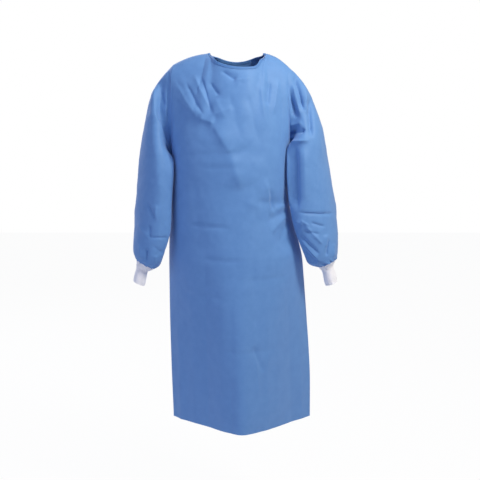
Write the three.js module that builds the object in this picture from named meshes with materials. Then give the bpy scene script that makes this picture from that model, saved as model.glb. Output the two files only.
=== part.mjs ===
// A disposable surgical gown, worn and hollow: the cloth as it hangs from the shoulders of a standing
// figure that is not there. Five cut panels of non-woven cloth (front, two backs, two sleeves), two knitted
// cuffs, a bound neckline, and at the back a hook-and-loop neck tab and a knotted waist tie. Millimetres,
// +Z up, the front faces -Y and the wearer's left is +X. The origin is between the two points where the
// neckline meets the shoulder seams, where the wearer's shoulders carry the gown.
import * as THREE from "three";

// ---------- Driving sizes ----------
const CLOTH = 1.5; // thickness of a panel's wall
const KNIT = 1.8; // thickness of a cuff's wall
const TAPE = 1.2; // thickness of a binding, tie, hook strip or loop strip
const SEAM_GAP = 0.5; // between two pieces along a seam
const TRIM_GAP = 0.6; // between a panel and what lies on it
const HEM_Z = -1113;
const SIDE_SEAM_Y = 5; // the side seams, shoulder seams and armholes are centred on this plane
const SQUARENESS = 0.83; // power on sine and cosine: 1 is an ellipse, less is squarer

const FRONT = -1;
const BACK = 1;
const OVERLAP_LIFT = 3; // the overlapping panels stand this far off their common surface
const NECK_SHARE = 0.42; // share of a panel's half width that ends at the neckline

const BODY_ROWS = 13; // rows of facets from the hem to the underarms
const CHEST_ROWS = 9; // and from the underarms to the shoulders
const NECK_COLUMNS = 6; // from the centre to where the neckline ends
const SHOULDER_COLUMNS = 7; // and on to the side seam or the armhole
const OVERLAP_COLUMNS = 3; // by which each back panel passes the centre
const SLEEVE_ROWS_PER_STATION = 2;

// Levels of the body: the x of the two sides, the y of the front and of the back, and how far the front and
// the back are each two flat halves that meet in a ridge (1) rather than one round curve (0).
const BODY = [
  { z: -1113, left: -198, right: 227, front: -180, frontRidge: 1, back: 158, backRidge: 0.35 },
  { z: -984, left: -202, right: 226, front: -176, frontRidge: 0.95, back: 152, backRidge: 0.3 },
  { z: -908, left: -204, right: 222, front: -172, frontRidge: 0.88, back: 147, backRidge: 0.26 },
  { z: -814, left: -206, right: 215, front: -167, frontRidge: 0.75, back: 141, backRidge: 0.22 },
  { z: -682, left: -207, right: 205, front: -159, frontRidge: 0.5, back: 132, backRidge: 0.2 },
  { z: -602, left: -207, right: 197, front: -154, frontRidge: 0.36, back: 124, backRidge: 0.18 },
  { z: -531, left: -205, right: 178, front: -149, frontRidge: 0.25, back: 116, backRidge: 0.16 },
  { z: -449, left: -201, right: 158, front: -145, frontRidge: 0.16, back: 113, backRidge: 0.12 },
  { z: -316, left: -196, right: 156, front: -139, frontRidge: 0.1, back: 124, backRidge: 0.05 },
  { z: -270, left: -195, right: 158, front: -134, frontRidge: 0.1, back: 127, backRidge: 0.05 },
];
const RIDGE_ROUNDING = 0.12; // share of the half width over which a ridge is round

// The points that the shoulders fix. The wearer's right shoulder is at -X.
const NECK_POINT = { right: [-88, 5, -1], left: [86, 5, -1] };
const SHOULDER_TIP = { right: [-190, 5, -34], left: [150, 5, -37] };
const UNDERARM_Z = { right: -308, left: -268 };
const SHOULDER_CROWN = 6; // the shoulder seam bows up by this much
// The seam under the neck binding, from the right neck point (at -1) to the left one (at 1).
const FRONT_NECK = [
  { at: -1, x: -88, y: 5, z: -1 },
  { at: -0.76, x: -77.5, y: -31, z: -15 },
  { at: -0.5, x: -63, y: -61, z: -33 },
  { at: -0.25, x: -32, y: -82, z: -45.5 },
  { at: 0, x: 2, y: -89, z: -50.5 },
  { at: 0.27, x: 35, y: -85, z: -50.5 },
  { at: 0.5, x: 60, y: -67, z: -45.5 },
  { at: 0.76, x: 77, y: -33, z: -21 },
  { at: 1, x: 86, y: 5, z: -1 },
];
const BACK_NECK = { deep: 30, back: 72 };

// Sleeves, from the armhole down: each row is a slanting section, by its outer and innermost points in the
// XZ plane, the y of its front and back, how far the innermost point is turned round to the front (radians),
// and how far a soft fold stands out towards the body there.
const SLEEVE = {
  right: [
    { outerX: -250, outerZ: -108, innerX: -204, innerZ: -298, front: -46, back: 62, turned: 0.1, fold: 0 },
    { outerX: -281, outerZ: -222, innerX: -200, innerZ: -312, front: -80, back: 66, turned: 0.35, fold: 3 },
    { outerX: -298, outerZ: -330, innerX: -198, innerZ: -345, front: -94, back: 64, turned: 0.5, fold: 7 },
    { outerX: -305, outerZ: -430, innerX: -201, innerZ: -430, front: -97, back: 56, turned: 0.5, fold: 7 },
    { outerX: -311, outerZ: -518, innerX: -208, innerZ: -524, front: -97, back: 42, turned: 0.5, fold: 6 },
    { outerX: -315, outerZ: -580, innerX: -219, innerZ: -592, front: -92, back: 26, turned: 0.4, fold: 3 },
    { outerX: -309, outerZ: -603, innerX: -231, innerZ: -628, front: -80, back: 14, turned: 0.2, fold: 0 },
    { outerX: -301, outerZ: -613, innerX: -247, innerZ: -641, front: -68, back: 2, turned: 0, fold: 0 },
  ],
  left: [
    { outerX: 207, outerZ: -100, innerX: 165, innerZ: -262, front: -48, back: 60, turned: 0.1, fold: 0 },
    { outerX: 255, outerZ: -212, innerX: 162, innerZ: -275, front: -78, back: 64, turned: 0.35, fold: 3 },
    { outerX: 276, outerZ: -320, innerX: 158, innerZ: -320, front: -92, back: 62, turned: 0.5, fold: 7 },
    { outerX: 292, outerZ: -415, innerX: 158, innerZ: -415, front: -95, back: 52, turned: 0.5, fold: 8 },
    { outerX: 302, outerZ: -500, innerX: 173, innerZ: -500, front: -96, back: 38, turned: 0.5, fold: 8 },
    { outerX: 306, outerZ: -566, innerX: 196, innerZ: -574, front: -93, back: 22, turned: 0.4, fold: 6 },
    { outerX: 303, outerZ: -600, innerX: 212, innerZ: -622, front: -82, back: 10, turned: 0.2, fold: 0 },
    { outerX: 297, outerZ: -612, innerX: 245, innerZ: -636, front: -68, back: 0, turned: 0, fold: 0 },
  ],
};
const SLEEVE_FOLD = { at: 0.7, wide: 0.3 }; // radians round from the innermost point to the front

// Cuffs, in the same way, on from the end of each sleeve.
const CUFF = {
  right: [
    { outerX: -303, outerZ: -626, innerX: -261, innerZ: -648, front: -63, back: -3, turned: 0, fold: 0 },
    { outerX: -304, outerZ: -637, innerX: -269, innerZ: -652, front: -60, back: -6, turned: 0, fold: 0 },
    { outerX: -313, outerZ: -677, innerX: -279, innerZ: -693, front: -62, back: -8, turned: 0, fold: 0 },
  ],
  left: [
    { outerX: 293, outerZ: -624, innerX: 250, innerZ: -642, front: -63, back: -4, turned: 0, fold: 0 },
    { outerX: 292, outerZ: -634, innerX: 256, innerZ: -650, front: -61, back: -7, turned: 0, fold: 0 },
    { outerX: 302, outerZ: -679, innerX: 267, innerZ: -692, front: -63, back: -9, turned: 0, fold: 0 },
  ],
};

// The largest folds, as seen from the front or the back: a line from one point to another in the XZ plane,
// how wide the fold is, and how far it stands out of the cloth (less than 0 for a trough).
const FOLDS = [
  { on: FRONT, x0: -172, z0: -60, x1: -95, z1: -205, wide: 26, out: 8 },
  { on: FRONT, x0: -60, z0: -215, x1: 12, z1: -400, wide: 46, out: 7 },
  { on: FRONT, x0: -176, z0: -760, x1: -168, z1: -1250, wide: 22, out: 13 },
  { on: FRONT, x0: -130, z0: -330, x1: -110, z1: -620, wide: 50, out: -6 },
  { on: FRONT, x0: 92, z0: -400, x1: 150, z1: -600, wide: 34, out: -10 },
  { on: FRONT, x0: 110, z0: -640, x1: 120, z1: -1200, wide: 55, out: 6 },
  { on: BACK, x0: -120, z0: -60, x1: -95, z1: -430, wide: 40, out: 7 },
  { on: BACK, x0: 105, z0: -60, x1: 80, z1: -430, wide: 40, out: 7 },
  { on: BACK, x0: -110, z0: -500, x1: -125, z1: -1200, wide: 44, out: 10 },
  { on: BACK, x0: 95, z0: -500, x1: 120, z1: -1200, wide: 46, out: 10 },
  { on: BACK, x0: -20, z0: -560, x1: -28, z1: -1200, wide: 50, out: -8 },
];

// Trimmings. Rows count up from the hem, and shares are of the way from that row to the next.
const BINDING = { tall: 8, thick: 2.4, proud: 0.5 }; // a folded tape, so thicker than the cloth it holds
const NECK_STRIPS = { row: 21, from: 0.1, to: 0.62, columns: 5, gap: 0.35 };
const TIE = { row: 10, from: 0.08, to: 0.42, shortOfCentre: 0.3, leavesPanelAt: 8 };
const KNOT = { wide: 34, tall: 26, deep: 13, off: 9 };
const TAILS = [
  { name: "tie_tail_right", from: -0.95, to: -0.1, spread: -0.07, lastRow: 5 },
  { name: "tie_tail_left", from: 0.1, to: 0.95, spread: 0.05, lastRow: 6 },
];

// ---------- Numbers and curves ----------
const mix = (a, b, share) => a + (b - a) * share;
const clamp01 = (value) => Math.min(1, Math.max(0, value));
const ease = (value) => {
  const share = clamp01(value);
  return share * share * (3 - 2 * share);
};

// A smooth curve through the rows of a table: every column at the place `at` in column `by`.
function tableAt(table, by, at) {
  const rising = table[table.length - 1][by] > table[0][by] ? 1 : -1;
  let i = 0;
  while (i < table.length - 2 && rising * (at - table[i + 1][by]) > 0) i += 1;
  const last = table.length - 1;
  const around = [table[Math.max(0, i - 1)], table[i], table[i + 1], table[Math.min(last, i + 2)]];
  const share = clamp01((at - around[1][by]) / (around[2][by] - around[1][by]));
  const found = {};
  for (const key of Object.keys(table[i])) found[key] = spline(around.map((row) => row[key]), share);
  return found;
}

// Catmull-Rom between the middle two of four numbers.
function spline([before, from, to, after], share) {
  const square = share * share;
  const cube = square * share;
  return (
    0.5 *
    (2 * from +
      (to - before) * share +
      (2 * before - 5 * from + 4 * to - after) * square +
      (3 * from - before - 3 * to + after) * cube)
  );
}

// A cubic from one point to another that leaves and arrives along the given tangents.
function hermite(from, leave, to, arrive, share) {
  const square = share * share;
  const cube = square * share;
  return new THREE.Vector3()
    .addScaledVector(from, 2 * cube - 3 * square + 1)
    .addScaledVector(leave, cube - 2 * square + share)
    .addScaledVector(to, 3 * square - 2 * cube)
    .addScaledVector(arrive, cube - square);
}

// How far the folds move a point of the front or the back along Y.
function foldAt(side, x, z) {
  let moved = 0;
  for (const fold of FOLDS) {
    if (fold.on !== side) continue;
    const alongX = fold.x1 - fold.x0;
    const alongZ = fold.z1 - fold.z0;
    const length = Math.hypot(alongX, alongZ);
    const share = ((x - fold.x0) * alongX + (z - fold.z0) * alongZ) / length ** 2;
    const off = Math.abs((x - fold.x0) * alongZ - (z - fold.z0) * alongX) / length;
    const taper = ease(share * 4) * ease((1 - share) * 4);
    moved += side * fold.out * taper * Math.exp(-((off / fold.wide) ** 2));
  }
  return moved;
}

// ---------- The body's form ----------
// s runs from -1 at the wearer's right side seam to 1 at the left one, on the front and on the back.
const underarmZ = (s) => mix(UNDERARM_Z.right, UNDERARM_Z.left, (s + 1) / 2);

function bodyPoint(side, s, z) {
  const level = tableAt(BODY, "z", z);
  const ridge = side === FRONT ? level.frontRidge : level.backRidge;
  const turn = (s * Math.PI) / 2;
  const across = mix(Math.sign(s) * Math.abs(Math.sin(turn)) ** SQUARENESS, s, ridge);
  const fullSlope = Math.hypot(1, RIDGE_ROUNDING) - RIDGE_ROUNDING;
  const slope = (Math.hypot(s, RIDGE_ROUNDING) - RIDGE_ROUNDING) / fullSlope;
  const out = mix(Math.max(0, Math.cos(turn)) ** SQUARENESS, 1 - slope, ridge);
  const reach = (side === FRONT ? level.front : level.back) - SIDE_SEAM_Y;
  const x = mix(level.left, level.right, (across + 1) / 2);
  return new THREE.Vector3(x, SIDE_SEAM_Y + reach * out, z);
}

// The upper edge of the front or the back: shoulder seam, neckline, shoulder seam.
function topPoint(side, s) {
  const hand = s < 0 ? "right" : "left";
  const neck = NECK_POINT[hand];
  if (Math.abs(s) >= NECK_SHARE) {
    const tip = SHOULDER_TIP[hand];
    const share = (Math.abs(s) - NECK_SHARE) / (1 - NECK_SHARE);
    const bow = SHOULDER_CROWN * Math.sin(Math.PI * share);
    return new THREE.Vector3(mix(neck[0], tip[0], share), tip[1], mix(neck[2], tip[2], share) + bow);
  }
  const across = s / NECK_SHARE;
  if (side === FRONT) {
    const place = tableAt(FRONT_NECK, "at", across);
    return new THREE.Vector3(place.x, place.y, place.z);
  }
  const x = mix(NECK_POINT.right[0], NECK_POINT.left[0], (across + 1) / 2);
  const dip = 1 - across ** 2;
  const z = NECK_POINT.right[2] - BACK_NECK.deep * dip;
  return new THREE.Vector3(x, mix(SIDE_SEAM_Y, BACK_NECK.back, Math.sqrt(dip)), z);
}

// A point of the chest or the upper back: t is 0 at the level of the underarms and 1 at the upper edge.
function chestPoint(side, s, t) {
  const from = bodyPoint(side, s, underarmZ(s));
  const to = topPoint(side, s);
  const atArmhole = ease((Math.abs(s) - 0.62) / 0.38);
  const atNeck = 1 - ease((Math.abs(s) - 0.2) / (NECK_SHARE - 0.2));
  const rise = to.z - from.z;
  const leave = new THREE.Vector3(0, side * 175 * atArmhole, rise * 1.05 * (1 - atArmhole));
  const pull = mix(175, side === FRONT ? 95 : 60, atNeck);
  const arrive = new THREE.Vector3(0, -side * pull, rise * 0.75 * atNeck);
  return hermite(from, leave, to, arrive, t);
}

// Any point of the front or the back: v is 0 at the hem, 1 at the underarms and 2 at the upper edge.
function gownPoint(side, s, v) {
  const below = v <= 1;
  const point = below ? bodyPoint(side, s, mix(HEM_Z, underarmZ(s), v)) : chestPoint(side, s, v - 1);
  const facing = Math.cos((s * Math.PI) / 2) ** 0.5;
  const belowTop = 1 - ease((v - 1.75) / 0.25);
  point.y += foldAt(side, point.x, point.z) * (Math.abs(s) < 1 ? facing : 0) * belowTop;
  return point;
}

// The rows of every body panel, so that they meet row for row along the seams.
const BODY_V = [
  ...Array.from({ length: BODY_ROWS }, (_, i) => i / BODY_ROWS),
  ...Array.from({ length: CHEST_ROWS + 1 }, (_, i) => 1 + i / CHEST_ROWS),
];

// ---------- Sleeves and cuffs ----------
// The loop of an armhole, from the underarm up its front edge to the shoulder and down its back edge.
function armhole(hand) {
  const s = hand === "right" ? -1 : 1;
  const up = BODY_V.filter((v) => v >= 1);
  const loop = up.map((v) => gownPoint(FRONT, s, v));
  for (const v of up.slice(1, -1).reverse()) loop.push(gownPoint(BACK, s, v));
  return loop;
}

// A slanting section of a sleeve or cuff, with as many points as an armhole: it starts at the inner point
// and goes round by the front.
function section(row, count) {
  const middleY = (row.front + row.back) / 2;
  const deep = (row.back - row.front) / 2;
  return Array.from({ length: count }, (_, k) => {
    const turn = (2 * Math.PI * k) / count;
    const inward = (Math.cos(turn - row.turned) + 1) / 2;
    const fold = row.fold * Math.exp(-(((turn - SLEEVE_FOLD.at) / SLEEVE_FOLD.wide) ** 2));
    return new THREE.Vector3(
      mix(row.outerX, row.innerX, inward) + Math.sign(row.innerX - row.outerX) * fold,
      middleY - deep * Math.sin(turn),
      mix(row.outerZ, row.innerZ, inward),
    );
  });
}

// Rings through the given sections, with extra ones between on smooth curves.
function ringsThrough(sections, between) {
  const rings = [];
  const last = sections.length - 1;
  for (let i = 0; i < last; i += 1) {
    for (let step = 0; step < between; step += 1) {
      const around = [i - 1, i, i + 1, i + 2].map((j) => sections[Math.min(last, Math.max(0, j))]);
      rings.push(
        sections[i].map((_, k) => {
          const [x, y, z] = ["x", "y", "z"].map((axis) =>
            spline(around.map((ring) => ring[k][axis]), step / between),
          );
          return new THREE.Vector3(x, y, z);
        }),
      );
    }
  }
  rings.push(sections[last]);
  return rings;
}

function sleeveRings(hand) {
  const loop = armhole(hand);
  const sections = SLEEVE[hand].map((row) => section(row, loop.length));
  return ringsThrough([loop, ...sections], SLEEVE_ROWS_PER_STATION);
}

function cuffRings(hand) {
  const end = SLEEVE[hand][SLEEVE[hand].length - 1];
  const count = armhole(hand).length;
  return ringsThrough([section(end, count), ...CUFF[hand].map((row) => section(row, count))], 1);
}

// ---------- Sheets of cloth ----------
// A sheet is a grid of points on the cloth's outer face: points[row][column]. A round sheet closes on itself
// along each row. `flip` turns the grid's faces so that they point out.
const COLOURS = { cloth: 0x5b8bd0, knit: 0xe6e6ee, tape: 0xdfe6f0 };
const ROUGHNESS = { cloth: 0.75, knit: 0.95, tape: 0.9 };

function facesOf(sheet) {
  const columns = sheet.points[0].length;
  const faces = [];
  for (let i = 0; i < sheet.points.length - 1; i += 1) {
    for (let j = 0; j < (sheet.round ? columns : columns - 1); j += 1) {
      const next = (j + 1) % columns;
      const quad = [[i, j], [i, next], [i + 1, next], [i + 1, j]];
      faces.push(sheet.flip ? quad.reverse() : quad);
    }
  }
  return faces;
}

const placeKey = (point) => [point.x, point.y, point.z].map((value) => value.toFixed(2)).join();

// The outward direction at every place of a sheet.
function outwardOf(sheet) {
  const sums = new Map();
  for (const quad of facesOf(sheet)) {
    const [a, b, c, d] = quad.map(([i, j]) => sheet.points[i][j]);
    const normal = c.clone().sub(a).cross(d.clone().sub(b));
    for (const point of [a, b, c, d]) {
      const key = placeKey(point);
      if (!sums.has(key)) sums.set(key, new THREE.Vector3());
      sums.get(key).add(normal);
    }
  }
  for (const sum of sums.values()) sum.normalize();
  return sums;
}

// The same for all the sheets joined: where pieces meet, the direction midway between theirs.
function joinedOutward(sheets) {
  const sums = new Map();
  for (const sheet of sheets) {
    for (const [key, direction] of outwardOf(sheet)) {
      if (!sums.has(key)) sums.set(key, new THREE.Vector3());
      sums.get(key).add(direction);
    }
  }
  for (const sum of sums.values()) sum.normalize();
  return sums;
}

// The wall of a sheet: its outer face, an inner face one thickness behind it, and the cut edges. Each cut
// edge is drawn back by half a seam's gap. Two pieces mitre along their seam, but not where it is a sharp
// valley: there each keeps its own direction.
function wallOf(sheet, joined) {
  const own = outwardOf(sheet);
  const { points, round, thick } = sheet;
  const rows = points.length;
  const columns = points[0].length;
  const position = [];
  const index = (layer, i, j) => (layer * rows + i) * columns + (j % columns);
  const drawnBack = points.map((row, i) =>
    row.map((point, j) => {
      const towards = new THREE.Vector3();
      if (i === 0) towards.add(points[1][j].clone().sub(point).normalize());
      if (i === rows - 1) towards.add(points[rows - 2][j].clone().sub(point).normalize());
      if (!round && j === 0) towards.add(row[1].clone().sub(point).normalize());
      if (!round && j === columns - 1) towards.add(row[columns - 2].clone().sub(point).normalize());
      return point.clone().addScaledVector(towards, SEAM_GAP / 2);
    }),
  );
  for (const layer of [0, 1]) {
    for (let i = 0; i < rows; i += 1) {
      for (let j = 0; j < columns; j += 1) {
        const point = drawnBack[i][j].clone();
        const key = placeKey(points[i][j]);
        const outward = joined.get(key).dot(own.get(key)) > 0.6 ? joined.get(key) : own.get(key);
        if (layer === 1) point.addScaledVector(outward, -thick);
        position.push(point.x, point.y, point.z);
      }
    }
  }
  const triangles = [];
  const quadFace = (a, b, c, d) => triangles.push(a, b, c, a, c, d);
  for (const quad of facesOf(sheet)) {
    const [a, b, c, d] = quad.map(([i, j]) => [i, j]);
    quadFace(index(0, ...a), index(0, ...b), index(0, ...c), index(0, ...d));
    quadFace(index(1, ...a), index(1, ...d), index(1, ...c), index(1, ...b));
  }
  const edge = (i0, j0, i1, j1) => {
    const around = [index(0, i0, j0), index(0, i1, j1), index(1, i1, j1), index(1, i0, j0)];
    quadFace(...(sheet.flip ? around : around.reverse()));
  };
  for (let j = 0; j < (round ? columns : columns - 1); j += 1) {
    edge(0, j, 0, j + 1);
    edge(rows - 1, j + 1, rows - 1, j);
  }
  if (!round) {
    for (let i = 0; i < rows - 1; i += 1) {
      edge(i + 1, 0, i, 0);
      edge(i, columns - 1, i + 1, columns - 1);
    }
  }
  const geometry = new THREE.BufferGeometry();
  geometry.setAttribute("position", new THREE.Float32BufferAttribute(position, 3));
  geometry.setIndex(triangles);
  return geometry;
}

function meshOf(name, geometry, finish) {
  const material = new THREE.MeshStandardMaterial({
    color: COLOURS[finish],
    roughness: ROUGHNESS[finish],
    metalness: 0,
  });
  const mesh = new THREE.Mesh(geometry, material);
  mesh.name = name;
  return mesh;
}

// ---------- Front, backs, sleeves, cuffs ----------
const halfColumns = [
  ...Array.from({ length: NECK_COLUMNS }, (_, j) => (NECK_SHARE * j) / NECK_COLUMNS),
  ...Array.from({ length: SHOULDER_COLUMNS + 1 }, (_, j) => mix(NECK_SHARE, 1, j / SHOULDER_COLUMNS)),
];
const columns = [...halfColumns.slice(1).map((s) => -s).reverse(), ...halfColumns];
const centre = halfColumns.length - 1;

const frontPoints = BODY_V.map((v) => columns.map((s) => gownPoint(FRONT, s, v)));

// A back panel from its side seam to past the centre. The left panel lies over the right one.
function backPoint(hand, s, v) {
  const point = gownPoint(BACK, s, v);
  const past = hand === "left" ? -s : s;
  const lift = OVERLAP_LIFT * ease((past + NECK_SHARE) / NECK_SHARE);
  point.y += hand === "left" ? lift : -lift;
  return point;
}

function backPoints(hand) {
  const own = {
    left: columns.slice(centre - OVERLAP_COLUMNS),
    right: columns.slice(0, centre + OVERLAP_COLUMNS + 1),
  };
  return BODY_V.map((v) => own[hand].map((s) => backPoint(hand, s, v)));
}

const sheets = [
  { name: "front", points: frontPoints, thick: CLOTH, finish: "cloth" },
  { name: "back_right", points: backPoints("right"), flip: true, thick: CLOTH, finish: "cloth" },
  { name: "back_left", points: backPoints("left"), flip: true, thick: CLOTH, finish: "cloth" },
];
for (const hand of ["right", "left"]) {
  const tube = { round: true, flip: hand === "left" };
  sheets.push({ ...tube, name: `sleeve_${hand}`, points: sleeveRings(hand), thick: CLOTH, finish: "cloth" });
  sheets.push({ ...tube, name: `cuff_${hand}`, points: cuffRings(hand), thick: KNIT, finish: "knit" });
}

const joined = joinedOutward(sheets);

// ---------- Binding, neck strips, waist tie ----------
const panel = Object.fromEntries(sheets.map((sheet) => [sheet.name, sheet]));
const topRow = BODY_V.length - 1;

// A place on a panel between two rows and two columns, and the outward direction there.
function placeOn(sheet, row, share, column) {
  const first = Math.floor(column);
  const [lower, upper] = [row, Math.min(row + 1, sheet.points.length - 1)].map((i) => {
    const from = sheet.points[i][first];
    const to = sheet.points[i][Math.min(first + 1, sheet.points[i].length - 1)];
    const outward = joined.get(placeKey(from)).clone();
    outward.lerp(joined.get(placeKey(to)), column - first);
    return { point: from.clone().lerp(to, column - first), outward };
  });
  const outward = lower.outward.lerp(upper.outward, share).normalize();
  return { point: lower.point.lerp(upper.point, share), outward };
}

const movedOut = ({ point, outward }, distance) => point.clone().addScaledVector(outward, distance);

// The binding stands on the neck edge: along the right back, the front and the left back. Its upper edge
// carries the cloth's own surface on.
function binding() {
  const places = [];
  const neck = { right: centre - NECK_COLUMNS, left: centre + NECK_COLUMNS };
  const skipped = centre - OVERLAP_COLUMNS;
  for (let j = panel.back_right.points[0].length - 1; j > neck.right; j -= 1) {
    places.push(placeOn(panel.back_right, topRow, 0, j));
  }
  for (let j = neck.right; j <= neck.left; j += 1) places.push(placeOn(panel.front, topRow, 0, j));
  for (let j = neck.left - 1; j >= skipped; j -= 1) {
    places.push(placeOn(panel.back_left, topRow, 0, j - skipped));
  }
  const lower = places.map((place) => movedOut(place, BINDING.proud));
  const upper = lower.map((point, j) => {
    const along = lower[Math.min(j + 1, lower.length - 1)].clone().sub(lower[Math.max(j - 1, 0)]);
    const up = places[j].outward.clone().cross(along).normalize();
    return point.clone().addScaledVector(up, BINDING.tall);
  });
  return { name: "neck_binding", points: [lower, upper], thick: BINDING.thick, finish: "tape" };
}

// A strip of tape whose inner face lies off a panel: `places` holds two rows or more of places on it.
function strip(name, places, off) {
  const points = places.map((row) => row.map((place) => movedOut(place, off + TAPE)));
  return { name, points, flip: true, thick: TAPE, finish: "tape" };
}

// The hook strip is inside the left back's overlap, and the loop strip outside the right back's.
function neckStrips() {
  const overlap = Array.from({ length: NECK_STRIPS.columns }, (_, j) => j);
  const rows = (sheet, first) =>
    [NECK_STRIPS.from, NECK_STRIPS.to].map((share) =>
      overlap.map((j) => placeOn(sheet, NECK_STRIPS.row, share, first + j)),
    );
  return [
    strip("hook_strip", rows(panel.back_left, 1), -CLOTH - NECK_STRIPS.gap - TAPE),
    strip("loop_strip", rows(panel.back_right, centre - OVERLAP_COLUMNS + 1), NECK_STRIPS.gap),
  ];
}

// The ties run from the side seams over the back and in under the knot. The right one climbs on to the left
// back's overlap.
function ties() {
  const middle = OVERLAP_COLUMNS;
  const lastColumn = panel.back_left.points[0].length - 1;
  const onRight = Array.from({ length: TIE.leavesPanelAt + 1 }, (_, j) => [panel.back_right, j]);
  const climbed = Array.from({ length: middle }, (_, j) => [panel.back_left, j]);
  const onLeft = Array.from({ length: lastColumn - middle }, (_, j) => [panel.back_left, middle + 1 + j]);
  const rows = (stops) =>
    [TIE.from, TIE.to].map((share) =>
      stops.map(([sheet, column]) => placeOn(sheet, TIE.row, share, column)),
    );
  const right = [...onRight, ...climbed, [panel.back_left, middle - TIE.shortOfCentre]];
  const left = [[panel.back_left, middle + TIE.shortOfCentre], ...onLeft];
  return [strip("tie_right", rows(right), TRIM_GAP), strip("tie_left", rows(left), TRIM_GAP)];
}

// A tail of the tie hangs from the knot down the left back, a little wide of straight.
function tail({ name, from, to, spread, lastRow }) {
  const places = [];
  for (let row = lastRow; row <= TIE.row; row += 1) {
    const aside = OVERLAP_COLUMNS + spread * (TIE.row - row);
    places.push([from + aside, to + aside].map((column) => placeOn(panel.back_left, row, 0, column)));
  }
  return strip(name, places, 2 * TRIM_GAP);
}

function knotMesh() {
  const level = (TIE.from + TIE.to) / 2;
  const { point, outward } = placeOn(panel.back_left, TIE.row, level, OVERLAP_COLUMNS);
  const geometry = new THREE.SphereGeometry(0.5, 14, 9);
  const knot = meshOf("tie_knot", geometry, "tape");
  knot.scale.set(KNOT.wide, KNOT.deep, KNOT.tall);
  knot.position.copy(point).addScaledVector(outward, KNOT.off);
  return knot;
}

const trimmings = [binding(), ...neckStrips(), ...ties(), ...TAILS.map(tail)];
const gown = new THREE.Group();
for (const sheet of sheets) {
  gown.add(meshOf(sheet.name, wallOf(sheet, joined), sheet.finish));
}
for (const sheet of trimmings) {
  gown.add(meshOf(sheet.name, wallOf(sheet, outwardOf(sheet)), sheet.finish));
}
gown.add(knotMesh());

export default gown;
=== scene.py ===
import math

import bpy
import numpy as np
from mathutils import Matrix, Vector, noise


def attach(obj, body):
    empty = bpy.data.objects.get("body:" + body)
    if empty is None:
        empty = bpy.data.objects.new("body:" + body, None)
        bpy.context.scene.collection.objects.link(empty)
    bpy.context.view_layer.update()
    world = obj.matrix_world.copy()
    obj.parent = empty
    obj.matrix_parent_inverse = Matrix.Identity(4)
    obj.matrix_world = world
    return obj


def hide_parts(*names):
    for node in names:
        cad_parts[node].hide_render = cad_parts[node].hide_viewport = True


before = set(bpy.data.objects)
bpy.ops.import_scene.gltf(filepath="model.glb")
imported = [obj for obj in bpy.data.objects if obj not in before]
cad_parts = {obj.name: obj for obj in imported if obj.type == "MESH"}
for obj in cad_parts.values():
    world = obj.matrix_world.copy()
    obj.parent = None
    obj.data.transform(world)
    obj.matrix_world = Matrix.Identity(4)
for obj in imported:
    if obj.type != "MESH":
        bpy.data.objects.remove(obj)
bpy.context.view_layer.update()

# ---------- Camera and studio ----------
# A person's view of the gown from the front: a long lens at elbow height, tipped down a little so that the
# hem and the neckline both show. The room is plain white, lit from the right and above by large soft
# boxes.
scene = bpy.context.scene
scene.view_settings.view_transform = "Standard"

CAMERA_AT = (0.009, -2.9, -0.170)
CAMERA_TIPPED_DOWN = math.radians(7.64)
LENS = 72.15  # mm, on the default 36 mm sensor
bpy.ops.object.camera_add(location=CAMERA_AT, rotation=(math.pi / 2 - CAMERA_TIPPED_DOWN, 0, 0))
camera = bpy.context.object
camera.data.lens = LENS
scene.camera = camera


def to_linear(code):
    """A colour written as sRGB hex, as the linear values that a shader takes."""
    parts = [int(code[i : i + 2], 16) / 255 for i in (1, 3, 5)]
    return [c / 12.92 if c <= 0.04045 else ((c + 0.055) / 1.055) ** 2.4 for c in parts] + [1.0]


def add_node(tree, kind, inputs=None, **settings):
    """Adds a node with its settings. Each input is a value, or another node's socket to link from."""
    node = tree.nodes.new(kind)
    for name, value in settings.items():
        setattr(node, name, value)
    for name, value in (inputs or {}).items():
        if isinstance(value, bpy.types.NodeSocket):
            tree.links.new(value, node.inputs[name])
        else:
            node.inputs[name].default_value = value
    return node


def new_material(name):
    """A material with an empty tree, and its output."""
    material = bpy.data.materials.new(name)
    material.use_nodes = True
    material.node_tree.nodes.clear()
    return material, material.node_tree, add_node(material.node_tree, "ShaderNodeOutputMaterial")


FLOOR_Z = -1.42  # the wearer's feet would stand here, below the hem
FLOOR_WHITE = 0.96  # share of plain white that the camera sees: the rest keeps the shadow
bpy.ops.mesh.primitive_plane_add(size=14, location=(0, 0, FLOOR_Z))
floor = bpy.context.object
floor.name = "studio_floor"
# Studio paper: matt white. To the camera it is mostly as white as the backdrop, and keeps part of its
# shadow.
paper, tree, out = new_material("matt white studio paper")
lit = add_node(tree, "ShaderNodeBsdfDiffuse", {"Color": to_linear("#F4F4F6")})
plain = add_node(tree, "ShaderNodeEmission", {"Color": to_linear("#FFFFFF"), "Strength": 1.0})
path = add_node(tree, "ShaderNodeLightPath")
seen = add_node(
    tree,
    "ShaderNodeMath",
    {0: path.outputs["Is Camera Ray"], 1: FLOOR_WHITE},
    operation="MULTIPLY",
)
both = add_node(tree, "ShaderNodeMixShader", {0: seen.outputs[0], 1: lit.outputs[0], 2: plain.outputs[0]})
tree.links.new(both.outputs[0], out.inputs["Surface"])
floor.data.materials.append(paper)

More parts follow.
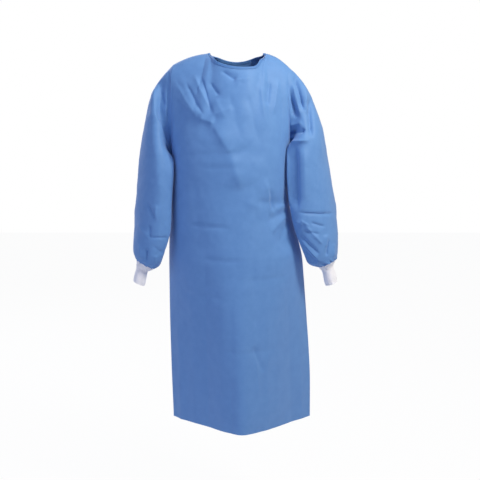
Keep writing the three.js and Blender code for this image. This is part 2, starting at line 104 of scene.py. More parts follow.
world = bpy.data.worlds.new("studio room")
scene.world = world
world.use_nodes = True
tree = world.node_tree
tree.nodes.clear()
path = add_node(tree, "ShaderNodeLightPath")
seen = add_node(
    tree,
    "ShaderNodeMath",
    {0: path.outputs["Is Camera Ray"], 1: path.outputs["Is Transmission Ray"]},
    operation="MAXIMUM",
)
ROOM_STRENGTH = 0.36  # as light on the gown; the camera sees the room as white
room = add_node(tree, "ShaderNodeBackground", {"Color": to_linear("#D3DDFF"), "Strength": ROOM_STRENGTH})
white = add_node(tree, "ShaderNodeBackground", {"Color": to_linear("#FFFFFF"), "Strength": 1.0})
both = add_node(tree, "ShaderNodeMixShader", {0: seen.outputs[0], 1: room.outputs[0], 2: white.outputs[0]})
out = add_node(tree, "ShaderNodeOutputWorld", {"Surface": both.outputs[0]})

SOFT_BOXES = [
    # name, place, aimed at, size in metres, watts, colour
    ("key_box", (1.15, -1.0, 0.95), (0.0, 0, -0.3), 0.45, 33, "#FFF7E2"),
    ("fill_box", (-2.6, -1.9, 0.2), (0, 0, -0.5), 1.6, 16, "#DCE4FF"),
    ("top_box", (0.1, -0.9, 1.7), (0, 0, -0.2), 0.9, 9, "#FFFFFF"),
    ("back_box", (-1.6, 2.4, 1.1), (0, 0, -0.4), 1.2, 42, "#F4F7FF"),
]
for name, place, aim, size, watts, tint in SOFT_BOXES:
    turned = (Vector(aim) - Vector(place)).to_track_quat("-Z", "Y").to_euler()
    bpy.ops.object.light_add(type="AREA", location=place, rotation=turned)
    lamp = bpy.context.object
    lamp.name = name
    lamp.data.size = size
    lamp.data.energy = watts
    lamp.data.color = to_linear(tint)[:3]

# ---------- Front panel ----------
# The front is one piece of three-layer polypropylene non-woven, cut from side seam to side seam and welded
# to the backs and the sleeves. It hangs from the shoulders, breaks into two flat halves below the waist,
# and is drawn in at the left of the waist by the tie.
CLOTH_WALL = 0.0015
FRONT, BACK = -1, 1
SEAM_Y = 0.005  # side seams, shoulder seams and armholes lie about this plane
SQUARENESS = 0.83
RIDGE_ROUNDING = 0.12
NECK_SHARE = 0.42
HEM_Z = -1.113
UNDERARM_Z = (-0.308, -0.268)
SHOULDER_CROWN = 0.006

# Levels of the body in millimetres: z, left, right, front, front ridge, back, back ridge.
BODY_LEVELS = [
    (-1113, -198, 227, -180, 1.0, 158, 0.35),
    (-984, -202, 226, -176, 0.95, 152, 0.3),
    (-908, -204, 222, -172, 0.88, 147, 0.26),
    (-814, -206, 215, -167, 0.75, 141, 0.22),
    (-682, -207, 205, -159, 0.5, 132, 0.2),
    (-602, -207, 197, -154, 0.36, 124, 0.18),
    (-531, -205, 178, -149, 0.25, 116, 0.16),
    (-449, -201, 158, -145, 0.16, 113, 0.12),
    (-316, -196, 156, -139, 0.1, 124, 0.05),
    (-270, -195, 158, -134, 0.1, 127, 0.05),
]
NECK_POINTS = ((-88, 5, -1), (86, 5, -1))  # right, left
SHOULDER_TIPS = ((-190, 5, -34), (150, 5, -37))
# The seam under the neck binding: share across, x, y, z.
FRONT_NECK = [
    (-1, -88, 5, -1),
    (-0.76, -77.5, -31, -15),
    (-0.5, -63, -61, -33),
    (-0.25, -32, -82, -45.5),
    (0, 2, -89, -50.5),
    (0.27, 35, -85, -50.5),
    (0.5, 60, -67, -45.5),
    (0.76, 77, -33, -21),
    (1, 86, 5, -1),
]
BACK_NECK_DEEP, BACK_NECK_Y = 30, 72

# How the upper body runs from the underarm level to the upper edge, as a curve with a pull at each end.
ARMHOLE_FROM = 0.62  # share of the half breadth from which it turns in to the armhole
NECK_FLAT = 0.2  # and within which it rises straight to the neckline
ARMHOLE_PULL = 0.175
NECK_PULL = {FRONT: 0.095, BACK: 0.060}
LEAVE_RISE, ARRIVE_RISE = 1.05, 0.75


def ease(share):
    """A share that starts and ends level, held between 0 and 1."""
    share = np.clip(share, 0, 1)
    return share * share * (3 - 2 * share)


def through(table, at):
    """A smooth curve through the rows of a table by their first column: the other columns at `at`."""
    table = np.array(table, float)
    at = np.asarray(at, float)
    i = np.clip(np.searchsorted(table[:, 0], at, side="right") - 1, 0, len(table) - 2)
    share = np.clip((at - table[i, 0]) / (table[i + 1, 0] - table[i, 0]), 0, 1)[..., None]
    before, start = table[np.maximum(i - 1, 0), 1:], table[i, 1:]
    end, after = table[i + 1, 1:], table[np.minimum(i + 2, len(table) - 1), 1:]
    return blend_four(before, start, end, after, share)


def blend_four(before, start, end, after, share):
    """Catmull-Rom between the middle two of four values."""
    return 0.5 * (
        2 * start
        + (end - before) * share
        + (2 * before - 5 * start + 4 * end - after) * share**2
        + (3 * start - before - 3 * end + after) * share**3
    )


def body_at(side, s, z):
    """The body below the underarms: s is -1 at the right side seam and 1 at the left one, z is in metres."""
    left, right, front, front_ridge, back, back_ridge = np.moveaxis(through(BODY_LEVELS, z * 1000), -1, 0)
    ridge = front_ridge if side == FRONT else back_ridge
    turn = s * math.pi / 2
    across = np.sign(s) * np.abs(np.sin(turn)) ** SQUARENESS * (1 - ridge) + s * ridge
    slope = (np.hypot(s, RIDGE_ROUNDING) - RIDGE_ROUNDING) / (math.hypot(1, RIDGE_ROUNDING) - RIDGE_ROUNDING)
    out = np.maximum(0, np.cos(turn)) ** SQUARENESS * (1 - ridge) + (1 - slope) * ridge
    reach = (front if side == FRONT else back) / 1000 - SEAM_Y
    x = (left + (right - left) * (across + 1) / 2) / 1000
    return np.stack([x, SEAM_Y + reach * out, z], -1)


def top_at(side, s):
    """The upper edge: shoulder seam, neckline, shoulder seam."""
    share = np.clip((np.abs(s) - NECK_SHARE) / (1 - NECK_SHARE), 0, 1)[..., None]
    ends = [
        np.where((s < 0)[..., None], np.array(pair[0]) / 1000, np.array(pair[1]) / 1000)
        for pair in (NECK_POINTS, SHOULDER_TIPS)
    ]
    shoulder = ends[0] * (1 - share) + ends[1] * share
    shoulder[..., 2] += SHOULDER_CROWN * np.sin(math.pi * share[..., 0])
    across = np.clip(s / NECK_SHARE, -1, 1)
    if side == FRONT:
        neck = through(FRONT_NECK, across) / 1000
    else:
        dip = 1 - across**2
        x = NECK_POINTS[0][0] + (NECK_POINTS[1][0] - NECK_POINTS[0][0]) * (across + 1) / 2
        y = SEAM_Y * 1000 + (BACK_NECK_Y - SEAM_Y * 1000) * np.sqrt(dip)
        neck = np.stack([x, y, NECK_POINTS[0][2] - BACK_NECK_DEEP * dip], -1) / 1000
    return np.where((np.abs(s) >= NECK_SHARE)[..., None], shoulder, neck)


def gown_at(side, s, v):
    """The gown's plain form: v is 0 at the hem, 1 at the underarms and 2 at the upper edge."""
    underarm = UNDERARM_Z[0] + (UNDERARM_Z[1] - UNDERARM_Z[0]) * (s + 1) / 2
    below = body_at(side, s, HEM_Z + (underarm - HEM_Z) * np.minimum(v, 1))
    start = body_at(side, s, underarm)
    end = top_at(side, s)
    at_armhole = ease((np.abs(s) - ARMHOLE_FROM) / (1 - ARMHOLE_FROM))
    at_neck = 1 - ease((np.abs(s) - NECK_FLAT) / (NECK_SHARE - NECK_FLAT))
    rise = end[..., 2] - start[..., 2]
    nothing = np.zeros_like(s)
    leave = np.stack([nothing, side * ARMHOLE_PULL * at_armhole, rise * LEAVE_RISE * (1 - at_armhole)], -1)
    pull = ARMHOLE_PULL + (NECK_PULL[side] - ARMHOLE_PULL) * at_neck
    arrive = np.stack([nothing, -side * pull, rise * ARRIVE_RISE * at_neck], -1)
    t = np.clip(v - 1, 0, 1)[..., None]
    above = (
        start * (2 * t**3 - 3 * t**2 + 1)
        + leave * (t**3 - 2 * t**2 + t)
        + end * (3 * t**2 - 2 * t**3)
        + arrive * (t**3 - t**2)
    )
    return np.where((v <= 1)[..., None], below, above)


# Folds by place in millimetres: from x, z to x, z, how wide each flank is (towards +x or up, and the other
# way), and how far the fold stands out (less than 0 for a trough).
FRONT_FOLDS = [
    # the large ones, as in the cut form: breast, waist, skirt
    (-172, -60, -95, -205, 26, 26, 8),
    (-60, -215, 12, -400, 46, 46, 7),
    (-176, -760, -168, -1250, 22, 22, 13),
    (-130, -330, -110, -620, 50, 50, -6),
    (92, -400, 150, -600, 34, 34, -10),
    (110, -640, 120, -1200, 55, 55, 6),
    # the breast: cloth pulled from the right shoulder breaks along one long line, lit above and dark below
    (-186, -120, -104, -196, 34, 11, 7.5),
    (-112, -190, -62, -206, 24, 9, 7.5),
    (-74, -198, -8, -306, 48, 12, 7.5),
    (-20, -286, 14, -400, 30, 14, 5),
    # drag lines that fall into it
    (-184, -84, -112, -186, 6, 12, 5),
    (-150, -84, -92, -188, 5, 10, -6.5),
    (-128, -58, -76, -166, 6, 12, 6),
    (-104, -68, -68, -186, 4, 8, -5.5),
    (-78, -88, -50, -128, 5, 7, -5.5),
    (-64, -130, -30, -196, 9, 14, 3.5),
    (-69, -184, -6, -158, 10, 14, 4),
    (-24, -110, 10, -250, 14, 18, -3),
    # dents under the neckline and below the left shoulder
    (-46, -54, 0, -84, 11, 6, -6.5),
    (-10, -84, 40, -78, 8, 10, 3),
    (98, -84, 88, -160, 5, 9, -5.5),
    (122, -70, 104, -186, 9, 7, 5),
    (66, -84, 84, -214, 12, 8, 4.5),
    (30, -110, 66, -272, 12, 18, -3.5),
    (134, -110, 128, -290, 8, 12, -3),
    (84, -200, 60, -330, 20, 26, -3),
    # the pull towards the left of the waist
    (82, -362, 104, -478, 5, 9, 6),
    (96, -386, 118, -474, 4, 6, -5),
    (96, -466, 156, -444, 6, 6, 6),
    (88, -490, 156, -460, 6, 6, -5),
    (100, -524, 158, -470, 7, 8, 5),
    (54, -428, 154, -440, 8, 9, -3.5),
    (124, -566, 162, -478, 8, 9, -4.5),
    (20, -420, 96, -470, 16, 20, 3),
    # soft horizontal creases left by the packing folds
    (-150, -499, -14, -504, 4, 7, -3.4),
    (-110, -598, 34, -602, 5, 7, -2.4),
    (20, -660, 160, -654, 6, 8, -2),
    (-180, -706, -30, -712, 6, 8, -1.8),
    (-60, -868, 130, -872, 6, 8, -1.8),
    (-120, -330, 20, -334, 7, 9, -1.8),
    # long soft rolls of the skirt
    (-138, -600, -126, -1200, 20, 26, 3),
    (-96, -520, -84, -1240, 22, 18, -3),
    (-40, -600, -46, -1260, 20, 28, 2.6),
    (-14, -660, -18, -1260, 12, 16, -2),
    (46, -846, 76, -936, 6, 9, -4),
    (52, -880, 64, -1010, 8, 8, 2),
    (44, -560, 60, -840, 20, 28, -2.6),
    (84, -700, 92, -1260, 18, 28, 3),
    (150, -620, 172, -1240, 20, 16, -3),
    (186, -700, 204, -1260, 14, 12, 3.5),
]
FOLD_STEEP, FOLD_ROUND = 1.2, 0.22  # of a fold's flanks, and of its crown


def folds_at(folds, across, up):
    """How far the folds stand out of the cloth at places given in millimetres, in metres."""
    moved = np.zeros_like(across)
    for x0, z0, x1, z1, wide_plus, wide_minus, out in folds:
        along_x, along_z = x1 - x0, z1 - z0
        length = math.hypot(along_x, along_z)
        share = ((across - x0) * along_x + (up - z0) * along_z) / length**2
        off = ((across - x0) * abs(along_z) - (up - z0) * along_x * (1 if along_z > 0 else -1)) / length
        if abs(along_z) < abs(along_x):
            off = ((up - z0) * abs(along_x) - (across - x0) * along_z * (1 if along_x > 0 else -1)) / length
        flank = np.where(off > 0, wide_plus, wide_minus)
        taper = ease(share * 4) * ease((1 - share) * 4)
        moved += out / 1000 * taper * np.exp(-FOLD_STEEP * (np.hypot(off / flank, FOLD_ROUND) - FOLD_ROUND))
    return moved


def outward_of(points, flip):
    """The outward direction at each point of a grid of points [row][column]."""
    normal = np.cross(np.gradient(points, axis=1), np.gradient(points, axis=0))
    normal /= np.maximum(np.linalg.norm(normal, axis=-1, keepdims=True), 1e-9)
    return -normal if flip else normal


FINE_SIZE, FINE_DEEP = 0.021, 0.0004  # the smallest unevenness, the same all over


def crumple(points, size, deep, seed):
    """Small flat facets with soft edges, as stiff non-woven takes after being packed: one value a point."""
    shape = points.shape[:-1]
    away = Vector((seed * 7.3, seed * 3.1, seed * 5.7))
    values = [
        noise.noise(Vector(p) / size + away) + 0.55 * abs(noise.noise(Vector(p) / size * 2.1 - away))
        for p in points.reshape(-1, 3)
    ]
    fine = [noise.noise(Vector(p) / FINE_SIZE - away) for p in points.reshape(-1, 3)]
    return deep * np.array(values).reshape(shape) + FINE_DEEP * np.array(fine).reshape(shape)


def cloth_grid(name, columns, rows, place):
    """A grid primitive of rows by columns faces, each vertex put where `place` says for its two shares."""
    bpy.ops.object.select_all(action="DESELECT")
    bpy.ops.mesh.primitive_grid_add(x_subdivisions=columns, y_subdivisions=rows, size=1, calc_uvs=True)
    piece = bpy.context.object
    piece.name = name
    mesh = piece.data
    flat = np.zeros(len(mesh.vertices) * 3)
    mesh.vertices.foreach_get("co", flat)
    flat = flat.reshape(rows + 1, columns + 1, 3) + 0.5
    mesh.vertices.foreach_set("co", place(flat[..., 0], flat[..., 1]).reshape(-1))
    mesh.update()
    return piece


def select_only(piece):
    bpy.ops.object.select_all(action="DESELECT")
    piece.select_set(True)
    bpy.context.view_layer.objects.active = piece


def edit_whole(piece, operator, **settings):
    """Runs one edit-mode operator on the whole mesh of a piece."""
    select_only(piece)
    bpy.ops.object.mode_set(mode="EDIT")
    bpy.ops.mesh.select_all(action="SELECT")
    operator(**settings)
    bpy.ops.object.mode_set(mode="OBJECT")


def give_wall(piece, thickness):
    """Solidifies a sheet behind its faces and smooths it, keeping its cut edges sharp."""
    select_only(piece)
    wall = piece.modifiers.new("wall", "SOLIDIFY")
    wall.thickness = thickness
    wall.offset = -1.0
    bpy.ops.object.modifier_apply(modifier=wall.name)
    bpy.ops.object.shade_smooth_by_angle(angle=math.radians(50))


def front_at(s, v):
    """The front's outer face with its folds."""
    plain = gown_at(FRONT, s, v)
    out = outward_of(plain, flip=False)
    x, z = plain[..., 0] * 1000, plain[..., 2] * 1000
    from_seam = ease((1 - np.abs(s)) / 0.10)
    from_top = ease((2 - v) / 0.10)
    moved = folds_at(FRONT_FOLDS, x, z) * np.cos(s * math.pi / 2) ** 0.5 * from_top
    moved += crumple(plain, 0.055, 0.0011, 1) * from_seam * from_top
    return plain + out * moved[..., None]


front = cloth_grid("front_panel", 170, 280, lambda across, up: front_at(across * 2 - 1, up * 2))
give_wall(front, CLOTH_WALL)

# Three-layer spunbond non-woven polypropylene, dyed mid blue: matt with a faint sheen, point-bonded in a
# fine emboss 1.5 mm apart, a little cloudy where its fibres lie thicker.
CLOTH_BLUE, CLOTH_BLUE_THIN = "#5E8DC9", "#6493CE"
BOND_PITCH_MM = 1.5


def nonwoven(name, colour, thin_colour):
    material, tree, out = new_material(name)
    place = add_node(tree, "ShaderNodeTexCoord")
    cloud = add_node(
        tree,
        "ShaderNodeTexNoise",
        {"Vector": place.outputs["Object"], "Scale": 38.0, "Detail": 5.0, "Roughness": 0.6},
    )
    shade = add_node(tree, "ShaderNodeValToRGB", {"Fac": cloud.outputs["Fac"]})
    shade.color_ramp.elements[0].position = 0.3
    shade.color_ramp.elements[0].color = to_linear(colour)
    shade.color_ramp.elements[1].position = 0.72
    shade.color_ramp.elements[1].color = to_linear(thin_colour)
    bonds = add_node(
        tree,
        "ShaderNodeTexVoronoi",
        {"Vector": place.outputs["Object"], "Scale": 1000 / BOND_PITCH_MM, "Randomness": 0.35},
    )
    fibres = add_node(
        tree,
        "ShaderNodeTexNoise",
        {"Vector": place.outputs["Object"], "Scale": 420.0, "Detail": 3.0, "Roughness": 0.7},
    )
    height = add_node(
        tree,
        "ShaderNodeMath",
        {0: bonds.outputs["Distance"], 1: fibres.outputs["Fac"]},
        operation="ADD",
    )
    bump = add_node(
        tree,
        "ShaderNodeBump",
        {"Strength": 0.35, "Distance": 0.0003, "Height": height.outputs[0]},
    )
    cloth = add_node(
        tree,
        "ShaderNodeBsdfPrincipled",
        {
            "Base Color": shade.outputs["Color"],
            "Roughness": 0.6,
            "IOR": 1.49,
            "Specular IOR Level": 0.35,
            "Sheen Weight": 0.2,
            "Sheen Roughness": 0.5,
            "Normal": bump.outputs["Normal"],
        },
    )
    tree.links.new(cloth.outputs[0], out.inputs["Surface"])
    return material


blue_cloth = nonwoven("spunbond non-woven polypropylene, blue", CLOTH_BLUE, CLOTH_BLUE_THIN)
front.data.materials.append(blue_cloth)
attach(front, "root")
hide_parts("front")

# ---------- Back panels ----------
# Two panels of the same cloth, welded to the front at the sides and shoulders. The left one laps over the
# right one down the whole back, held shut by a hook-and-loop tab at the neck and by the waist tie.
OVERLAP_SHARE = NECK_SHARE / 2  # each passes the centre by this share of a half back
OVERLAP_LIFT = 0.003
BACK_FOLDS = [
    (-120, -60, -95, -430, 40, 40, 5),
    (105, -60, 80, -430, 44, 50, 4),
    (-110, -500, -125, -1200, 44, 44, 10),
    (95, -500, 120, -1200, 46, 46, 10),
    (-20, -560, -28, -1200, 50, 50, -8),
    # drag lines across the shoulder blades
    (-170, -120, -70, -210, 9, 15, 4),
    (-165, -160, -80, -230, 8, 12, -4),
    (138, -110, 60, -200, 10, 15, 4),
    (136, -150, 52, -240, 8, 12, -4),
    # gathers that the tie draws in above and below the waist
    (-150, -350, -120, -458, 7, 11, 4),
    (-128, -330, -100, -458, 6, 9, -4.5),
    (-86, -350, -74, -458, 7, 10, 3.5),
    (60, -340, 48, -452, 7, 11, 4),
    (92, -340, 76, -452, 6, 9, -4.5),
    (124, -350, 108, -452, 7, 10, 3.5),
    (-158, -480, -166, -700, 9, 14, 4),
    (-128, -482, -134, -760, 8, 12, -5),
    (-92, -482, -92, -800, 9, 14, 4.5),
    (-66, -480, -62, -700, 7, 11, -4),
    (40, -478, 48, -760, 9, 13, 4),
    (72, -478, 84, -820, 8, 12, -5),
    (104, -476, 122, -780, 9, 14, 4.5),
    (134, -470, 160, -720, 8, 11, -4),
    # long soft rolls of the skirt
    (-160, -720, -168, -1240, 16, 20, 4),
    (-76, -760, -84, -1240, 16, 20, -3.5),
    (20, -720, 16, -1240, 18, 16, 3.5),
    (64, -780, 72, -1240, 14, 18, -3.5),
    (168, -700, 190, -1240, 16, 18, 4),
    # packing folds
    (-160, -640, 20, -644, 7, 10, -1.6),
    (-20, -860, 170, -866, 7, 10, -1.6),
    (-120, -260, 100, -256, 8, 10, -1.6),
]


def back_at(hand, s, v, climb=0):
    """A back panel's outer face with its folds; `climb` goes from the right one's face to the left's."""
    plain = gown_at(BACK, s, v)
    out = outward_of(plain, flip=True)
    x, z = plain[..., 0] * 1000, plain[..., 2] * 1000
    from_seam = ease((1 - np.abs(s)) / 0.10)
    from_top = ease((2 - v) / 0.10)
    # Both panels take the same folds, so that they stay apart where they lap.
    moved = folds_at(BACK_FOLDS, x, z) * np.cos(s * math.pi / 2) ** 0.5 * from_top
    moved += crumple(plain, 0.055, 0.0011, 2) * from_seam * from_top
    over = OVERLAP_LIFT * ease((NECK_SHARE - s) / NECK_SHARE)
    under = -OVERLAP_LIFT * ease((s + NECK_SHARE) / NECK_SHARE)
    lift = over if hand == "left" else under + (over - under) * climb
    placed = plain + out * moved[..., None]
    placed[..., 1] += lift
    return placed


def back_place(hand):
    """Where the points of a back panel lie, from the hem to the neckline."""
    lowest, highest = (-1, OVERLAP_SHARE) if hand == "right" else (-OVERLAP_SHARE, 1)
    return lambda across, up: back_at(hand, lowest + (highest - lowest) * across, up * 2)


for hand in ("right", "left"):
    panel = cloth_grid(f"back_panel_{hand}", 104, 270, back_place(hand))
    edit_whole(panel, bpy.ops.mesh.flip_normals)
    give_wall(panel, CLOTH_WALL)
    panel.data.materials.append(blue_cloth)
    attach(panel, "root")
    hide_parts(f"back_{hand}")

# ---------- Sleeves ----------
# One piece of cloth each, joined under the arm, set into the armhole and gathered into the cuff. They hang
# forward with the arms: drag folds run from the armhole, the elbow creases, and the end blouses over the
# cuff.

# Stations from the armhole down, in millimetres: outer x, z, inner x, z, front y, back y, then how far the
# section is turned, in radians, and how far its inner edge folds out in front.
SLEEVE_STATIONS = {
    "right": [
        (-250, -108, -204, -298, -46, 62, 0.1, 0),
        (-281, -222, -200, -312, -80, 66, 0.35, 13),
        (-298, -330, -198, -345, -94, 64, 0.5, 13),
        (-305, -430, -201, -430, -97, 56, 0.5, 10),
        (-311, -518, -208, -524, -97, 42, 0.5, 12),
        (-315, -580, -219, -592, -92, 26, 0.4, 3),
        (-309, -603, -231, -628, -80, 14, 0.2, 0),
        (-301, -613, -247, -641, -68, 2, 0, 0),
    ],
    "left": [
        (207, -100, 165, -262, -48, 60, 0.1, 0),
        (255, -212, 162, -275, -78, 64, 0.35, 14),
        (276, -320, 158, -320, -92, 62, 0.5, 13),
        (292, -415, 158, -415, -95, 52, 0.5, 8),
        (302, -500, 173, -500, -96, 38, 0.5, 8),
        (306, -566, 196, -574, -93, 22, 0.4, 6),
        (303, -600, 212, -622, -82, 10, 0.2, 0),
        (297, -612, 245, -636, -68, 0, 0, 0),
    ],
}
SLEEVE_FOLD_AT, SLEEVE_FOLD_WIDE = 0.7, 0.3  # in radians, from under the arm round by the front


def armhole_at(hand, turn):
    """The loop of an armhole: from the underarm up its front edge and down its back edge."""
    s = np.full_like(turn, -1.0 if hand == "right" else 1.0)
    going_up = turn <= math.pi
    share = np.where(going_up, turn / math.pi, 2 - turn / math.pi)
    return np.where(going_up[..., None], gown_at(FRONT, s, 1 + share), gown_at(BACK, s, 1 + share))


def section_at(row, turn):
    """One slanting section of a sleeve or cuff, in metres."""
    outer_x, outer_z, inner_x, inner_z, front, back, turned, fold = row
    inward = (np.cos(turn - turned) + 1) / 2
    lip = math.copysign(fold, inner_x - outer_x) * np.exp(
        -(((turn - SLEEVE_FOLD_AT) / SLEEVE_FOLD_WIDE) ** 2)
    )
    x = outer_x + (inner_x - outer_x) * inward + lip
    y = (front + back) / 2 - (back - front) / 2 * np.sin(turn)
    z = outer_z + (inner_z - outer_z) * inward
    return np.stack([x, y, z], -1) / 1000


def rings_at(sections, down, turn):
    """Smooth rings through sections: `down` runs from 0 at the first section to 1 at the last."""
    last = len(sections) - 1
    where = np.clip(down * last, 0, last - 1e-9)
    i = where.astype(int)
    share = (where - i)[..., None]
    found = np.zeros(turn.shape + (3,))
    for k in range(last):
        here = i == k
        if not here.any():
            continue
        four = [sections[min(last, max(0, k + step))](turn) for step in (-1, 0, 1, 2)]
        found = np.where(here[..., None], blend_four(*four, share), found)
    return found


def outward_round(points, flip):
    """The outward direction on a tube, the same at both edges of the seam that closes it."""
    out = outward_of(points, flip)
    seam = (out[:, 0] + out[:, -1]) / 2
    out[:, 0] = out[:, -1] = seam / np.linalg.norm(seam, axis=-1, keepdims=True)
    return out


# Folds on the front of the sleeves, by place in millimetres as on the body.
SLEEVE_FRONT_FOLDS = {
    "right": [
        # the deep valley beside the front, and the fold that overhangs it down to a V
        (-201, -36, -199, -220, 4, 8, -7),
        (-236, -60, -228, -210, 34, 5, -16),
        (-230, -170, -188, -326, 26, 5, -14),
        (-245, -84, -238, -212, 5, 24, 8),
        (-242, -150, -193, -326, 5, 26, 9),
        (-230, -108, -212, -156, 5, 6, -3.5),
        (-216, -96, -206, -214, 5, 6, 2.5),
        (-262, -130, -250, -330, 12, 14, -3),
        (-240, -250, -222, -420, 14, 16, 3),
        # the elbow's V crease and the short ones under it
        (-268, -434, -234, -492, 3, 5, -4.5),
        (-236, -440, -240, -494, 7, 7, 4),
        (-256, -500, -256, -542, 2.5, 4, -4),
        (-266, -537, -198, -541, 2.5, 4, -3.5),
        (-300, -500, -262, -540, 7, 8, 3.5),
        (-250, -560, -216, -592, 5, 7, -2.5),
        (-266, -570, -268, -612, 2.5, 4, -6),
        (-290, -560, -284, -610, 6, 7, 3.5),
        (-240, -590, -244, -625, 6, 6, 3.5),
    ],
    "left": [
        # troughs that fall from the shoulder
        (144, -84, 179, -196, 4, 10, -12),
        (160, -82, 190, -192, 7, 6, 6),
        (174, -50, 197, -174, 4, 9, -10),
        (196, -66, 208, -184, 9, 8, 6),
        (219, -122, 222, -252, 4, 18, -12),
        (240, -130, 250, -330, 14, 14, 3),
        # the dark crease and the band at the armpit, and the recess under it
        (146, -246, 204, -222, 7, 4, -12),
        (150, -214, 194, -204, 6, 6, 5),
        (148, -262, 212, -257, 9, 5, 9),
        (170, -262, 176, -470, 10, 30, -15),
        (196, -270, 200, -440, 12, 10, 3.5),
        # the elbow crease, the folds that fan from it, and the pleats above the cuff
        (174, -464, 300, -474, 2.2, 5, -5),
        (172, -490, 196, -502, 6, 6, 4),
        (214, -493, 262, -509, 2.5, 5, -4.5),
        (184, -486, 214, -506, 3, 5, 3.5),
        (196, -498, 256, -566, 5, 4, 5),
        (192, -518, 246, -530, 3, 6, -4),
        (184, -530, 246, -592, 4, 9, -5.5),
        (182, -540, 250, -618, 7, 6, 5),
        (196, -572, 240, -616, 4, 6, -5),
        (262, -530, 268, -572, 7, 7, 4),
        (272, -546, 268, -600, 2.5, 5, -6),
        (290, -560, 288, -606, 6, 6, 3.5),
    ],
}
# Folds on the back of the sleeves: turn (radians round from under the arm by the front) and share down,
# from and to, the two flanks' widths in millimetres, and how far each stands out.
SLEEVE_BACK_FOLDS = [
    (3.5, 0.08, 3.7, 0.34, 7, 12, -4),
    (4.0, 0.12, 4.9, 0.36, 8, 12, -5),
    (5.2, 0.08, 5.6, 0.36, 8, 12, 5),
    (3.9, 0.46, 5.6, 0.53, 6, 8, -6),
    (4.0, 0.55, 5.4, 0.59, 7, 10, 5),
    (4.2, 0.68, 5.8, 0.63, 6, 9, -5),
    (3.5, 0.50, 4.3, 0.74, 9, 12, 4),
    (3.9, 0.78, 4.2, 0.90, 6, 7, -4),
    (4.9, 0.76, 5.1, 0.90, 6, 7, 4),
]
SLEEVE_AROUND_MM, SLEEVE_DOWN_MM = 68, 620  # one radian round and the whole length, as widths are measured
PUCKERS = {"right": (13, 0.4), "left": (14, 1.9)}  # gathers round the cuff seam, and where they start
PUCKER_DEEP, PUCKER_FROM = 0.0034, 0.86  # and how deep they are, and from which share down
WELD = 0.00002  # points closer than this are one: the two edges of the seam that closes a tube


def sleeve_sections(hand):
    """A function for each section, from the armhole to the cuff: turns round it to points."""
    below = [lambda turn, row=row: section_at(row, turn) for row in SLEEVE_STATIONS[hand]]
    return [lambda turn: armhole_at(hand, turn)] + below


def sleeve_place(hand, seed):
    """Where the points of a sleeve lie: its plain form, then its folds, its crumple and its puckers."""
    sections = sleeve_sections(hand)

    def place(across, up):
        turn = across * 2 * math.pi
        down = 1 - up
        plain = rings_at(sections, down, turn)
        out = outward_round(plain, flip=hand == "right")
        around, length = SLEEVE_AROUND_MM, SLEEVE_DOWN_MM
        folds = [
            (t0 * around, -d0 * length, t1 * around, -d1 * length, *rest)
            for t0, d0, t1, d1, *rest in SLEEVE_BACK_FOLDS
        ]
        behind = ease((turn - math.pi) / 0.3) * ease((2 * math.pi - turn) / 0.3)
        facing = ease(-1.5 * out[..., 1] - 0.15)
        moved = behind * folds_at(folds, turn * around, -down * length)
        moved += facing * folds_at(SLEEVE_FRONT_FOLDS[hand], plain[..., 0] * 1000, plain[..., 2] * 1000)
        moved += crumple(plain, 0.045, 0.0013, seed)
        count, start = PUCKERS[hand]
        gather = ease((down - PUCKER_FROM) / (1 - PUCKER_FROM))
        gather *= 1 - 0.35 * ease((down - 0.985) / 0.015)
        wave = np.sin(count * turn + start + 1.4 * np.sin(2 * turn)) + 0.4 * np.sin(2 * count * turn + 2.1)
        moved += PUCKER_DEEP * gather * wave
        # Full cloth inside, so that nothing reaches the body, and none of it at the two seams.
        free = ease(down / 0.05) * (1 - 0.7 * ease((down - 0.97) / 0.03))
        near_body = np.exp(-(((np.mod(turn + math.pi, 2 * math.pi) - math.pi) / 0.75) ** 2))
        limit = 1 - near_body * (moved > 0)
        return plain + out * (moved * free * limit)[..., None]

    return place


for hand, seed in (("right", 4), ("left", 5)):
    sleeve = cloth_grid(f"sleeve_{hand}_arm", 168, 240, sleeve_place(hand, seed))
    edit_whole(sleeve, bpy.ops.mesh.remove_doubles, threshold=WELD)
    if hand == "right":
        edit_whole(sleeve, bpy.ops.mesh.flip_normals)
    give_wall(sleeve, CLOTH_WALL)
    sleeve.data.materials.append(blue_cloth)
    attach(sleeve, "root")
    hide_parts(f"sleeve_{hand}")

# ---------- Knitted cuffs ----------
# A short tube of white cotton-polyester rib knit, 1 x 1, seamed to the gathered sleeve end: its first rows
# are stretched over the seam and it closes on the wrist.
CUFF_WALL = 0.0018
CUFF_STATIONS = {
    "right": [
        (-303, -626, -261, -648, -63, -3, 0, 0),
        (-304, -637, -269, -652, -60, -6, 0, 0),
        (-313, -677, -279, -693, -62, -8, 0, 0),
    ],
    "left": [
        (293, -624, 250, -642, -63, -4, 0, 0),
        (292, -634, 256, -650, -61, -7, 0, 0),
        (302, -679, 267, -692, -63, -9, 0, 0),
    ],
}
CUFF_ROUND = 0.15
RIB_PITCH = 0.0034  # a real rib is nearer 2 mm: these are a little bolder
RIBS = round(CUFF_ROUND / RIB_PITCH)
COLUMNS_A_RIB = 6


def cuff_place(hand):
    """Where the points of a cuff lie: its plain form, then its ribs and the soft rolls across them."""
    rows = [SLEEVE_STATIONS[hand][-1]] + CUFF_STATIONS[hand]
    sections = [lambda turn, row=row: section_at(row, turn) for row in rows]

    def place(across, up):
        turn = across * 2 * math.pi
        down = 1 - up
        plain = rings_at(sections, down, turn)
        out = outward_round(plain, flip=hand == "right")
        ribs = 0.00045 * (np.cos(RIBS * turn) - 1)
        rolls = 0.0007 * np.sin(down * 2 * math.pi * 2.5 + np.sin(turn)) * ease((down - 0.3) / 0.2)
        return plain + out * (ribs + rolls * (1 - ease((down - 0.9) / 0.1)))[..., None]

    return place


